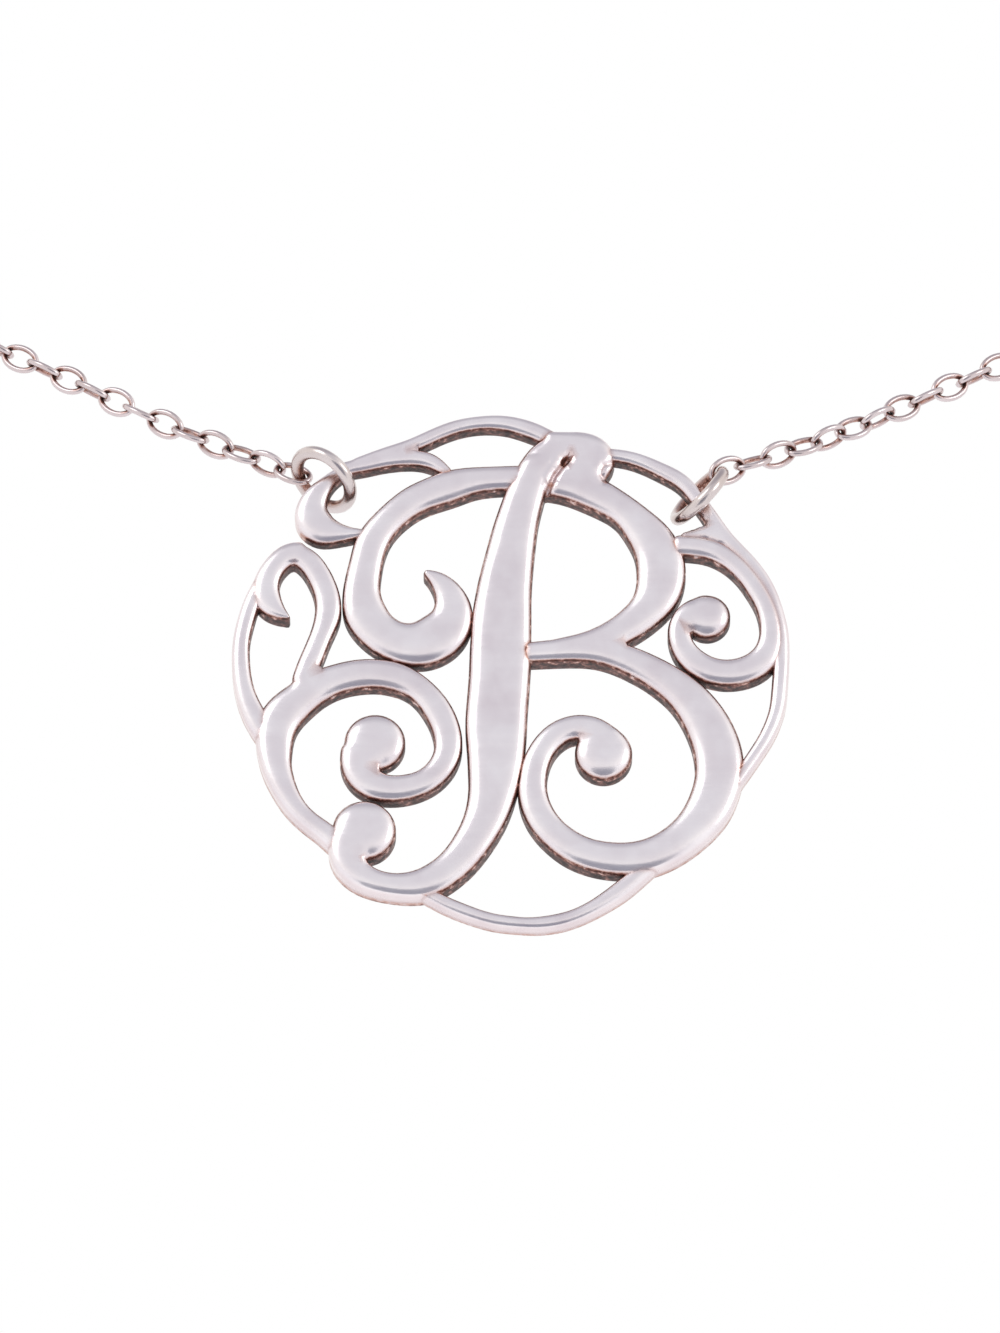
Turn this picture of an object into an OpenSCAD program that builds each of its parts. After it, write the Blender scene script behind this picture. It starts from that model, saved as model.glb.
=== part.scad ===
// Silver initial pendant: an openwork letter B made of flat scroll strokes inside a thin round rim.
// Two jump rings pass through the pierced work and carry a fine oval link chain, clasped at the nape.
// Origin at the middle of the clasp, at the nape. X to the right, Z up, the pendant faces -Y.

/* [Pendant] */
// Width of the round pendant across its rim
pendant_w = 31.75; // [28:0.25:36]
// Thickness of the main stem of the letter
stem_t = 1.7; // [1.5:0.05:2.2]
// Thickness of the two bowls on the right
bowl_t = 1.56; // [1.3:0.02:1.9]
// Thickness of the scrolls
scroll_t = 1.44; // [1.2:0.02:1.8]
// Thickness of the thin rim and of the tails that the jump rings hold
rim_t = 1.2; // [1:0.05:1.3]
// Narrowest crevice that the casting leaves open between two strokes
crevice = 0.16; // [0.1:0.02:0.3]
// Thinnest edge that the casting fills
sliver = 0.06; // [0.02:0.02:0.1]

/* [Jump rings] */
// Wire diameter of the jump rings
ring_wire = 0.75; // [0.6:0.05:0.8]
// Inner diameter of the jump rings
ring_bore = 2.95; // [2.8:0.05:3.2]

/* [Chain] */
// Wire diameter of the links
link_wire = 0.3; // [0.24:0.02:0.34]
// Outer width of a link
link_w = 1.55; // [1.45:0.05:1.8]
// Spacing of the links along the chain
link_pitch = 1.7; // [1.6:0.05:2]
// Clearance left between a link and what it hooks
link_gap = 0.1; // [0.08:0.01:0.12]
// Number of links over which the chain's twist at a ring dies out
twist_links = 8; // [6:1:20]

/* [Clasp] */
// Outer diameter of the clasp's ring
clasp_d = 6; // [5.5:0.25:8]
// Wire diameter of the clasp's ring
clasp_wire = 1.1; // [0.8:0.05:1.3]
// Outer diameter of the clasp's small eye
eye_d = 2.6; // [2.4:0.1:3]
// Wire diameter of the clasp's small eye
eye_wire = 0.6; // [0.5:0.05:0.7]
// Outer diameter of the end ring that the clasp closes on
end_ring_d = 4; // [3.8:0.1:5]
// Wire diameter of the end ring
end_ring_wire = 0.6; // [0.5:0.05:0.7]

/* [Hidden] */

$fn = 64;

// One part in 32 of the pendant's width, the unit of all the stroke tables below.
u = pendant_w / 32;

// Centre of the pendant, mid thickness, as it hangs below the nape.
pendant_at = [0, -108, -101];

// Strokes. Columns: x and z of the centreline from the pendant's centre, and the width, all in units of u.
STEM = [
    [3.0, 14.0, 1.5], [2.0, 13.6, 1.9], [1.35, 12.5, 2.0], [0.8, 11.0, 2.3], [0.3, 9.2, 2.5],
    [-0.1, 7.0, 2.85], [-0.4, 5.0, 3.2], [-0.55, 3.0, 3.45], [-0.6, 1.0, 3.55], [-0.7, -1.0, 3.5],
    [-0.85, -3.0, 3.55], [-0.85, -5.0, 3.35], [-1.0, -7.0, 2.9], [-1.35, -8.75, 2.5],
    [-2.1, -10.4, 2.2], [-3.25, -12.0, 2.0], [-4.9, -13.15, 1.85], [-6.9, -13.3, 1.45],
    [-8.6, -12.7, 1.6], [-9.4, -11.5, 2.1], [-9.2, -10.3, 2.4]
];
CAP = [
    [2.2, 14.4, 1.2], [3.2, 14.15, 1.7], [4.3, 13.92, 2.2], [5.1, 13.3, 2.2], [4.75, 12.45, 1.75], [4.0, 12.0, 1.6]
];
UPPER_BOWL = [
    [1.2, 11.9, 1.7], [2.6, 11.85, 1.85], [4.0, 11.55, 2.1], [5.5, 10.75, 2.0], [6.6, 10.0, 1.85],
    [7.6, 8.9, 2.3], [8.3, 7.9, 2.65], [8.65, 6.6, 2.85], [8.55, 5.2, 2.75], [8.1, 4.2, 2.4],
    [7.5, 3.5, 2.1], [6.6, 2.75, 1.9], [5.4, 2.05, 1.7], [4.0, 1.6, 1.5], [2.4, 1.3, 1.3]
];
LOWER_BOWL = [
    [1.0, 1.15, 1.3], [3.0, 1.3, 1.4], [5.0, 1.3, 1.6], [6.9, 0.65, 1.75], [8.6, -0.3, 1.95],
    [10.2, -1.65, 2.3], [11.3, -3.35, 2.65], [11.9, -5.2, 2.8], [11.85, -6.95, 2.75], [11.1, -8.85, 2.5],
    [9.6, -10.5, 2.15], [7.7, -11.5, 2.1], [5.6, -11.6, 2.0], [3.7, -11.05, 1.9], [2.1, -9.7, 1.8],
    [1.3, -8.1, 1.75], [1.25, -6.5, 1.6], [1.7, -5.0, 1.55], [2.65, -3.85, 1.5], [3.9, -3.4, 1.5],
    [5.0, -3.8, 1.75], [5.9, -4.6, 1.6]
];
LEFT_BOWL = [
    [0.9, 12.1, 1.6], [-1.0, 12.05, 1.55], [-2.4, 11.9, 1.75], [-3.5, 11.6, 2.05], [-4.65, 11.15, 1.95],
    [-5.55, 10.75, 1.85], [-6.5, 10.0, 1.75], [-7.4, 9.05, 1.8], [-8.05, 8.0, 1.95], [-8.4, 6.4, 1.95],
    [-8.6, 5.05, 2.15], [-8.45, 3.75, 2.55], [-7.85, 2.75, 2.45], [-7.0, 2.05, 2.45], [-6.2, 1.75, 2.6],
    [-5.2, 1.7, 2.85], [-4.3, 2.1, 2.95], [-3.7, 2.7, 2.9], [-3.3, 3.6, 2.4], [-3.45, 4.6, 1.9],
    [-3.85, 5.35, 1.4], [-4.35, 5.85, 0.95], [-4.9, 6.1, 0.4]
];
TOP_ARC = [
    [-8.9, 13.0, 0.75], [-7.4, 13.6, 0.8], [-6.0, 14.05, 0.85], [-4.8, 14.6, 0.9], [-3.8, 15.1, 0.9],
    [-2.7, 15.45, 0.87], [-1.55, 15.6, 0.9], [-0.5, 15.6, 0.97], [0.6, 15.35, 1.05], [1.6, 14.95, 1.1], [2.6, 14.4, 1.0]
];
SHOULDER = [
    [-9.6, 12.7, 0.85], [-8.6, 12.9, 0.95], [-7.4, 13.2, 0.95], [-6.2, 13.35, 0.95], [-4.95, 13.35, 1.05], [-4.2, 12.95, 0.9], [-3.6, 12.4, 0.6]
];
TEARDROP = [
    [-9.3, 12.75, 0.9], [-9.95, 12.4, 0.75], [-10.6, 11.8, 0.95], [-11.2, 11.1, 1.35], [-11.5, 10.4, 1.8],
    [-11.5, 9.65, 2.15], [-11.1, 9.0, 2.3], [-10.4, 8.75, 1.75], [-9.7, 8.65, 1.1], [-9.1, 8.6, 0.75], [-8.5, 8.65, 0.5]
];
HEART_LEFT = [
    [-12.1, 7.45, 1.25], [-12.45, 7.55, 1.35], [-13.2, 7.05, 1.4], [-13.85, 6.2, 1.35], [-14.15, 5.2, 1.55],
    [-14.05, 4.45, 1.7], [-13.7, 3.95, 1.5], [-13.2, 3.55, 0.8], [-12.75, 3.25, 0.25]
];
HEART_RIGHT = [
    [-12.5, 7.4, 1.3], [-11.8, 7.1, 1.4], [-11.25, 6.4, 1.45], [-10.8, 5.5, 1.45], [-10.5, 4.5, 1.5],
    [-10.5, 3.4, 1.55], [-10.85, 2.4, 1.3], [-11.25, 1.3, 1.35], [-11.6, 0.4, 1.35], [-12.0, -0.6, 1.2]
];
LEFT_RIM = [
    [-14.4, 5.5, 0.9], [-14.95, 4.2, 1.0], [-15.25, 3.1, 1.0], [-15.5, 1.9, 1.0], [-15.5, 0.6, 1.05],
    [-15.4, -0.6, 1.1], [-15.1, -1.8, 1.2], [-14.6, -2.9, 1.4], [-14.0, -3.9, 1.4]
];
LEFT_SCROLL = [
    [-9.9, -10.65, 1.3], [-10.7, -9.9, 1.2], [-11.2, -9.55, 1.15], [-12.0, -8.85, 1.15], [-12.65, -7.95, 1.3], [-13.1, -6.95, 1.5],
    [-13.45, -5.9, 1.75], [-13.55, -4.7, 2.1], [-13.5, -3.5, 2.35], [-13.0, -2.5, 2.4], [-12.2, -1.8, 2.2],
    [-11.35, -1.05, 2.1], [-10.4, -0.6, 1.9], [-9.35, -0.25, 1.85], [-8.1, -0.1, 1.85], [-7.0, -0.2, 1.8],
    [-5.9, -0.6, 1.7], [-5.05, -1.25, 1.6], [-4.4, -2.05, 1.65], [-3.9, -3.0, 1.7], [-3.6, -4.05, 1.65],
    [-3.6, -5.1, 1.6], [-4.05, -6.05, 1.57], [-4.9, -6.85, 1.5], [-6.15, -7.25, 1.6], [-7.4, -7.25, 1.7],
    [-8.35, -6.75, 1.9], [-8.8, -5.8, 2.1], [-8.7, -4.9, 2.1]
];
RIGHT_RIM = [
    [5.4, 13.6, 0.8], [6.35, 13.5, 0.85], [7.2, 13.3, 0.85], [8.2, 12.85, 0.95], [9.05, 12.4, 1.0],
    [9.85, 11.95, 0.95], [10.45, 11.2, 0.95], [11.0, 10.4, 0.95], [11.6, 9.5, 0.95], [12.2, 8.5, 1.0],
    [13.1, 7.5, 0.95], [13.95, 6.5, 0.95], [14.65, 5.35, 0.95], [15.1, 4.1, 0.95], [15.4, 3.0, 0.95],
    [15.5, 1.9, 0.95], [15.5, 0.3, 0.95], [15.4, -1.1, 0.95], [15.3, -2.2, 0.9], [15.0, -3.2, 0.9],
    [14.55, -4.2, 0.85], [14.0, -5.1, 0.85], [13.3, -6.2, 0.85], [12.5, -7.3, 0.9]
];
RIGHT_SCROLL = [
    [9.6, 7.85, 1.3], [10.4, 7.85, 1.4], [11.4, 7.65, 1.3], [12.4, 7.1, 1.2], [13.3, 6.25, 1.15],
    [14.0, 5.25, 1.15], [14.6, 4.15, 1.2], [14.9, 3.05, 1.25], [14.95, 2.05, 1.4], [14.75, 1.15, 1.6],
    [14.2, 0.45, 1.7], [13.2, 0.0, 1.7], [12.1, -0.1, 1.65], [11.1, 0.2, 1.65], [10.25, 0.85, 1.55],
    [9.75, 1.65, 1.4], [9.6, 2.55, 1.35], [9.9, 3.35, 1.4], [10.6, 3.85, 1.6], [11.2, 3.95, 1.75]
];
BOTTOM_ARC = [
    [-5.0, -13.6, 0.9], [-3.9, -14.3, 0.85], [-2.4, -14.95, 0.85], [-1.1, -15.4, 0.8], [0, -15.55, 0.8],
    [1.1, -15.65, 0.85], [2.2, -15.55, 0.87], [3.3, -15.3, 0.87], [4.4, -14.8, 0.9], [5.35, -14.2, 1.0],
    [6.3, -13.5, 1.1], [7.2, -12.7, 1.1], [8.0, -11.9, 1.1]
];
// Ball ends of the strokes. Columns: x, z and diameter, in units of u.
STEM_BALL = [-8.4, -9.9, 3.65];
LOWER_BALL = [5.3, -5.1, 3.3];
SCROLL_BALL = [-7.8, -4.4, 3.5];
RIGHT_BALL = [11.25, 3.45, 2.7];

// Centres of the jump rings from the pendant's centre, in units of u, and the way each ring's flat side faces.
left_ring_at = [-10.78, -0.05, 12.14] * u;
left_ring_faces = unit([-0.57, -0.36, -0.74]);
right_ring_at = [10.86, 0, 11.17] * u;
right_ring_faces = unit([-0.71, -0.42, 0.57]);

// The way each chain pulls on its jump ring.
left_ring_pull = [-15.3, 14, 12.5];
right_ring_pull = [15, 0, 4];

// Routes of the chain's two halves from beside the jump rings to the clasp, x, y and z from the nape.
RIGHT_ROUTE = [
    [18.5, -106.4, -85.5], [26, -104, -81.05], [38, -100, -73.8], [48.5, -92.5, -65], [56, -80.5, -54.5],
    [59, -65, -43], [57, -48, -30.5], [50, -32, -18.5], [38.5, -18, -8.5], [26, -8, -2.8], [13, -1.8, -0.3]
];
LEFT_ROUTE = [
    [-19, -105.6, -84.8], [-26, -103.6, -80.5], [-38, -99.7, -73.1], [-48.5, -92.3, -64.5], [-56, -80.4, -54.2],
    [-59, -65, -42.9], [-57, -48, -30.5], [-50, -32, -18.5], [-38.5, -18, -8.5], [-26, -8, -2.8], [-13, -1.8, -0.3]
];

ring_r = (ring_bore + ring_wire) / 2;
clasp_r = (clasp_d - clasp_wire) / 2;
eye_r = (eye_d - eye_wire) / 2;
end_ring_r = (end_ring_d - end_ring_wire) / 2;
// A link's centreline is longer than the pitch by a wire and the clearance, so the next link hangs free in it.
link_len = link_pitch + link_wire + link_gap;
link_r = (link_w - link_wire) / 2;

// The clasp's ring sits left of the origin with its eye on the far side, and the end ring hooks into it.
clasp_x = -1.2;
eye_x = clasp_x - clasp_r - eye_r - (eye_wire + clasp_wire) / 2 + 0.35;
end_ring_x = clasp_x + clasp_r - clasp_wire / 2 - link_gap - end_ring_wire / 2 + end_ring_r;

function unit(v) = v / norm(v);
function sum(v, i = 0) = i >= len(v) ? 0 : v[i] + sum(v, i + 1);

// Smooth curve through the rows of a table, with n steps between two rows. The ends carry straight on.
function row(t, i) = i < 0 ? 2 * t[0] - t[1] : i >= len(t) ? 2 * t[len(t) - 1] - t[len(t) - 2] : t[i];
function between(a, b, c, d, s) =
    0.5 * (2 * b + (c - a) * s + (2 * a - 5 * b + 4 * c - d) * s * s + (3 * b - a - 3 * c + d) * s * s * s);
function curve(t, n) = [
    for (i = [0:len(t) - 2], k = [0:n - 1])
        between(row(t, i - 1), row(t, i), row(t, i + 1), row(t, i + 2), k / n),
    t[len(t) - 1]
];

// Outline of a stroke: the left edge out and the right edge back.
function heading(c, i) =
    let (a = c[max(i - 1, 0)], b = c[min(i + 1, len(c) - 1)]) unit([b[0] - a[0], b[1] - a[1]]);
function edge(c, side) = [
    for (i = [0:len(c) - 1])
        let (h = heading(c, i)) [c[i][0] - side * h[1] * c[i][2] / 2, c[i][1] + side * h[0] * c[i][2] / 2]
];
function reversed(v) = [for (i = [len(v) - 1:-1:0]) v[i]];

module stroke(table) {
    c = curve(table, 4);
    polygon(u * concat(edge(c, 1), reversed(edge(c, -1))));
}

module ball_end(b) {
    translate(u * [b[0], b[1]])
        circle(d = u * b[2], $fn = 40);
}

// A set of strokes as one flat layer of metal, centred on the pendant's middle plane.
module layer(thickness) {
    rotate([90, 0, 0])
        linear_extrude(thickness, center = true)
            offset(delta = sliver / 2)
                offset(delta = -crevice / 2 - sliver / 2)
                    offset(delta = crevice / 2)
                        children();
}

module initial_pendant() {
    color("silver")
        translate(pendant_at) {
            layer(rim_t) {
                stroke(TOP_ARC);
                stroke(SHOULDER);
                stroke(LEFT_RIM);
                stroke(RIGHT_RIM);
                stroke(BOTTOM_ARC);
                stroke(TEARDROP);
            }
            layer(scroll_t) {
                stroke(HEART_LEFT);
                stroke(HEART_RIGHT);
                stroke(LEFT_BOWL);
                stroke(LEFT_SCROLL);
                ball_end(SCROLL_BALL);
                stroke(RIGHT_SCROLL);
                ball_end(RIGHT_BALL);
            }
            layer(bowl_t) {
                stroke(CAP);
                stroke(UPPER_BOWL);
                stroke(LOWER_BOWL);
                ball_end(LOWER_BALL);
            }
            layer(stem_t) {
                stroke(STEM);
                ball_end(STEM_BALL);
            }
        }
}

// Turns Z to a direction and X towards a second one, so that a flat shape can be laid in space.
module facing(at, z, x) {
    zz = unit(z);
    yy = unit(cross(zz, x));
    xx = cross(yy, zz);
    multmatrix([
        [xx[0], yy[0], zz[0], at[0]],
        [xx[1], yy[1], zz[1], at[1]],
        [xx[2], yy[2], zz[2], at[2]],
        [0, 0, 0, 1]
    ])
        children();
}

module wire_ring(r, wire) {
    rotate_extrude()
        translate([r, 0])
            circle(d = wire, $fn = 32);
}

module left_jump_ring() {
    color("gainsboro")
        facing(pendant_at + left_ring_at, left_ring_faces, [0, 0, 1])
            wire_ring(ring_r, ring_wire);
}

module right_jump_ring() {
    color("gainsboro")
        facing(pendant_at + right_ring_at, right_ring_faces, [0, 0, 1])
            wire_ring(ring_r, ring_wire);
}

// A link lies along X with its flat side facing Z: two half rings and two straight sides.
module link() {
    straight = link_len - 2 * link_r;
    for (side = [-1, 1]) {
        translate([side * straight / 2, 0, 0])
            rotate([0, 0, side * 90 - 180])
                rotate_extrude(angle = 180)
                    translate([link_r, 0])
                        circle(d = link_wire, $fn = 24);
        translate([0, side * link_r, 0])
            rotate([0, 90, 0])
                cylinder(h = straight, d = link_wire, center = true, $fn = 24);
    }
}

// Length along a route up to each of its points, and the point at a given length.
function lengths(p, i = 0, so_far = 0) =
    i >= len(p) - 1 ? [so_far] : concat([so_far], lengths(p, i + 1, so_far + norm(p[i + 1] - p[i])));
function span(l, s) = max([for (i = [0:len(l) - 2]) if (l[i] <= s || i == 0) i]);
function point_at(p, l, s) = let (i = span(l, s)) p[i] + (p[i + 1] - p[i]) * (s - l[i]) / (l[i + 1] - l[i]);

// Where a chain that pulls along a direction leaves a ring: the middle of the ring's wire.
function pulled(faces, pull) = unit(pull - faces * (pull * faces));
function hook_point(at, faces, r, pull) = at + r * pulled(faces, pull);

// A chain from one hooked wire to another. Every second link is turned a quarter round the chain, and the
// first link is turned to pass round the wire that it hooks, a twist that dies out along the chain.
module chain(start, start_wire, start_tangent, route, finish, finish_wire) {
    c = curve(concat([start], route, [finish]), 8);
    l = lengths(c);
    total = l[len(l) - 1];
    inside = link_len / 2 - link_wire / 2 - link_gap;
    // The first link leaves its ring at a slant, so it takes a little more room there.
    first = inside - start_wire / 2 - 0.7 * link_gap;
    last = total - (inside - finish_wire / 2);
    // An odd number of steps, so that the last link stands a quarter round from the first.
    steps = 2 * round((last - first) / link_pitch / 2 - 0.5) + 1;
    for (i = [0:steps]) {
        s = first + (last - first) * i / steps;
        at = point_at(c, l, s);
        along = unit(point_at(c, l, min(s + 0.5, total)) - point_at(c, l, max(s - 0.5, 0)));
        up = unit([0, 0, 1] - along * along[2]);
        out = cross(along, up);
        twist = atan2(start_tangent * out, start_tangent * up);
        half_turned = twist > 90 ? twist - 180 : twist < -90 ? twist + 180 : twist;
        roll = half_turned * max(0, 1 - i / twist_links) + 90 * (i % 2);
        facing(at, up * cos(roll) + out * sin(roll), along)
            link();
    }
}

// A chain from a jump ring, along its route, to a flat ring at the clasp.
module half_chain(ring_at, faces, pull, route, last_at, last_r, last_wire) {
    start = hook_point(ring_at, faces, ring_r, pull);
    tangent = cross(faces, unit(start - ring_at));
    finish = hook_point(last_at, [0, 0, 1], last_r, route[len(route) - 1] - last_at);
    chain(start, ring_wire, tangent, route, finish, last_wire);
}

module left_chain() {
    color("gainsboro")
        half_chain(pendant_at + left_ring_at, left_ring_faces, left_ring_pull, LEFT_ROUTE, [eye_x, 0, 0], eye_r, eye_wire);
}

module right_chain() {
    color("gainsboro")
        half_chain(pendant_at + right_ring_at, right_ring_faces, right_ring_pull, RIGHT_ROUTE, [end_ring_x, 0, 0], end_ring_r, end_ring_wire);
}

module clasp() {
    color("silver") {
        translate([clasp_x, 0, 0])
            rotate([90, 0, 0])
                wire_ring(clasp_r, clasp_wire);
        translate([eye_x, 0, 0])
            wire_ring(eye_r, eye_wire);
    }
}

module end_ring() {
    color("gainsboro")
        translate([end_ring_x, 0, 0])
            wire_ring(end_ring_r, end_ring_wire);
}

initial_pendant();
left_jump_ring();
right_jump_ring();
left_chain();
right_chain();
clasp();
end_ring();
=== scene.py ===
import math

import bmesh
import bpy
import numpy as np
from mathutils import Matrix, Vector, noise
from mathutils.bvhtree import BVHTree
from mathutils.geometry import delaunay_2d_cdt
from mathutils.kdtree import KDTree


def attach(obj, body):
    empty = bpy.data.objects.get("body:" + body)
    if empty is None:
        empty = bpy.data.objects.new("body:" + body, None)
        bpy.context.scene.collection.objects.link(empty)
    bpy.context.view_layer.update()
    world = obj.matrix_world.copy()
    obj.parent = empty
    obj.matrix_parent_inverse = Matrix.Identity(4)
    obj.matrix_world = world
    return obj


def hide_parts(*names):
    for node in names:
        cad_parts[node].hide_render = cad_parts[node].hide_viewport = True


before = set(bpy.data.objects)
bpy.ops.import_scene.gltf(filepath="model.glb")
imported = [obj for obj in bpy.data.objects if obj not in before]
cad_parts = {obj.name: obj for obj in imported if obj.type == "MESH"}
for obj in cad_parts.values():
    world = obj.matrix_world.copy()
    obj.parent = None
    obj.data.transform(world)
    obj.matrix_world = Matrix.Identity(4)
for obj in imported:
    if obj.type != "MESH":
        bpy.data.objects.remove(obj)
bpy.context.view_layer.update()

MM = 0.001
U = 31.75 / 32                      # one part in 32 of the pendant's width, in mm
PENDANT_AT = (0.0, -108.0, -101.0)  # pendant's centre below the nape, in mm

# Thickness of the casting at each of its levels, in mm
STEM_T, BOWL_T, LEFT_BOWL_T, SCROLL_T, RIM_T = 1.7, 1.56, 1.5, 1.44, 1.2

# Centrelines of the strokes: x, z and width in units of U
STEM = [
    (3.0, 14.0, 1.5), (2.0, 13.6, 1.9), (1.35, 12.5, 2.0), (0.8, 11.0, 2.3), (0.3, 9.2, 2.5),
    (-0.1, 7.0, 2.85), (-0.4, 5.0, 3.2), (-0.55, 3.0, 3.45), (-0.6, 1.0, 3.55), (-0.7, -1.0, 3.5),
    (-0.85, -3.0, 3.55), (-0.85, -5.0, 3.35), (-1.0, -7.0, 2.9), (-1.35, -8.75, 2.5),
    (-2.1, -10.4, 2.2), (-3.25, -12.0, 2.0), (-4.9, -13.15, 1.85), (-6.9, -13.3, 1.45),
    (-8.6, -12.7, 1.6), (-9.4, -11.5, 2.1), (-9.2, -10.3, 2.4)]
CAP = [
    (2.2, 14.4, 1.2), (3.2, 14.15, 1.7), (4.3, 13.92, 2.2), (5.1, 13.3, 2.2), (4.75, 12.45, 1.75),
    (4.0, 12.0, 1.6)]
UPPER_BOWL = [
    (1.2, 11.9, 1.7), (2.6, 11.85, 1.85), (4.0, 11.55, 2.1), (5.5, 10.75, 2.0), (6.6, 10.0, 1.85),
    (7.6, 8.9, 2.3), (8.3, 7.9, 2.65), (8.65, 6.6, 2.85), (8.55, 5.2, 2.75), (8.1, 4.2, 2.4),
    (7.5, 3.5, 2.1), (6.6, 2.75, 1.9), (5.4, 2.05, 1.7), (4.0, 1.6, 1.5), (2.4, 1.3, 1.3)]
LOWER_BOWL = [
    (1.0, 1.15, 1.3), (3.0, 1.3, 1.4), (5.0, 1.3, 1.6), (6.9, 0.65, 1.75), (8.6, -0.3, 1.95),
    (10.2, -1.65, 2.3), (11.3, -3.35, 2.65), (11.9, -5.2, 2.8), (11.85, -6.95, 2.75), (11.1, -8.85, 2.5),
    (9.6, -10.5, 2.15), (7.7, -11.5, 2.1), (5.6, -11.6, 2.0), (3.7, -11.05, 1.9), (2.1, -9.7, 1.8),
    (1.3, -8.1, 1.75), (1.25, -6.5, 1.6), (1.7, -5.0, 1.55), (2.65, -3.85, 1.5), (3.9, -3.4, 1.5),
    (5.0, -3.8, 1.75), (5.9, -4.6, 1.6)]
LEFT_BOWL = [
    (0.9, 12.1, 1.6), (-1.0, 12.05, 1.55), (-2.4, 11.9, 1.75), (-3.5, 11.6, 2.05), (-4.65, 11.15, 1.95),
    (-5.55, 10.75, 1.85), (-6.5, 10.0, 1.75), (-7.4, 9.05, 1.8), (-8.05, 8.0, 1.95), (-8.4, 6.4, 1.95),
    (-8.6, 5.05, 2.15), (-8.45, 3.75, 2.55), (-7.85, 2.75, 2.45), (-7.0, 2.05, 2.45), (-6.2, 1.75, 2.6),
    (-5.2, 1.7, 2.85), (-4.3, 2.1, 2.95), (-3.7, 2.7, 2.9), (-3.3, 3.6, 2.4), (-3.45, 4.6, 1.9),
    (-3.85, 5.35, 1.4), (-4.35, 5.85, 0.95), (-4.9, 6.1, 0.4)]
TOP_ARC = [
    (-8.9, 13.0, 0.75), (-7.4, 13.6, 0.8), (-6.0, 14.05, 0.85), (-4.8, 14.6, 0.9), (-3.8, 15.1, 0.9),
    (-2.7, 15.45, 0.87), (-1.55, 15.6, 0.9), (-0.5, 15.6, 0.97), (0.6, 15.35, 1.05), (1.6, 14.95, 1.1),
    (2.6, 14.4, 1.0)]
SHOULDER = [
    (-9.6, 12.7, 0.85), (-8.6, 12.9, 0.95), (-7.4, 13.2, 0.95), (-6.2, 13.35, 0.95), (-4.95, 13.35, 1.05),
    (-4.2, 12.95, 0.9), (-3.6, 12.4, 0.6)]
TEARDROP = [
    (-9.3, 12.75, 0.9), (-9.95, 12.4, 0.75), (-10.6, 11.8, 0.95), (-11.2, 11.1, 1.35), (-11.5, 10.4, 1.8),
    (-11.5, 9.65, 2.15), (-11.1, 9.0, 2.3), (-10.4, 8.75, 1.75), (-9.7, 8.65, 1.1), (-9.1, 8.6, 0.75),
    (-8.5, 8.65, 0.5)]
HEART_LEFT = [
    (-12.1, 7.45, 1.25), (-12.45, 7.55, 1.35), (-13.2, 7.05, 1.4), (-13.85, 6.2, 1.35), (-14.15, 5.2, 1.55),
    (-14.05, 4.45, 1.7), (-13.7, 3.95, 1.5), (-13.2, 3.55, 0.8), (-12.75, 3.25, 0.25)]
HEART_RIGHT = [
    (-12.5, 7.4, 1.3), (-11.8, 7.1, 1.4), (-11.25, 6.4, 1.45), (-10.8, 5.5, 1.45), (-10.5, 4.5, 1.5),
    (-10.5, 3.4, 1.55), (-10.85, 2.4, 1.3), (-11.25, 1.3, 1.35), (-11.6, 0.4, 1.35), (-12.0, -0.6, 1.2)]
LEFT_RIM = [
    (-14.4, 5.5, 0.9), (-14.95, 4.2, 1.0), (-15.25, 3.1, 1.0), (-15.5, 1.9, 1.0), (-15.5, 0.6, 1.05),
    (-15.4, -0.6, 1.1), (-15.1, -1.8, 1.2), (-14.6, -2.9, 1.4), (-14.0, -3.9, 1.4)]
LEFT_SCROLL = [
    (-9.9, -10.65, 1.3), (-10.7, -9.9, 1.2), (-11.2, -9.55, 1.15), (-12.0, -8.85, 1.15), (-12.65, -7.95, 1.3),
    (-13.1, -6.95, 1.5), (-13.45, -5.9, 1.75), (-13.55, -4.7, 2.1), (-13.5, -3.5, 2.35), (-13.0, -2.5, 2.4),
    (-12.2, -1.8, 2.2), (-11.35, -1.05, 2.1), (-10.4, -0.6, 1.9), (-9.35, -0.25, 1.85), (-8.1, -0.1, 1.85),
    (-7.0, -0.2, 1.8), (-5.9, -0.6, 1.7), (-5.05, -1.25, 1.6), (-4.4, -2.05, 1.65), (-3.9, -3.0, 1.7),
    (-3.6, -4.05, 1.65), (-3.6, -5.1, 1.6), (-4.05, -6.05, 1.57), (-4.9, -6.85, 1.5), (-6.15, -7.25, 1.6),
    (-7.4, -7.25, 1.7), (-8.35, -6.75, 1.9), (-8.8, -5.8, 2.1), (-8.7, -4.9, 2.1)]
RIGHT_RIM = [
    (5.4, 13.6, 0.8), (6.35, 13.5, 0.85), (7.2, 13.3, 0.85), (8.2, 12.85, 0.95), (9.05, 12.4, 1.0),
    (9.85, 11.95, 0.95), (10.45, 11.2, 0.95), (11.0, 10.4, 0.95), (11.6, 9.5, 0.95), (12.2, 8.5, 1.0),
    (13.1, 7.5, 0.95), (13.95, 6.5, 0.95), (14.65, 5.35, 0.95), (15.1, 4.1, 0.95), (15.4, 3.0, 0.95),
    (15.5, 1.9, 0.95), (15.5, 0.3, 0.95), (15.4, -1.1, 0.95), (15.3, -2.2, 0.9), (15.0, -3.2, 0.9),
    (14.55, -4.2, 0.85), (14.0, -5.1, 0.85), (13.3, -6.2, 0.85), (12.5, -7.3, 0.9)]
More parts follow.
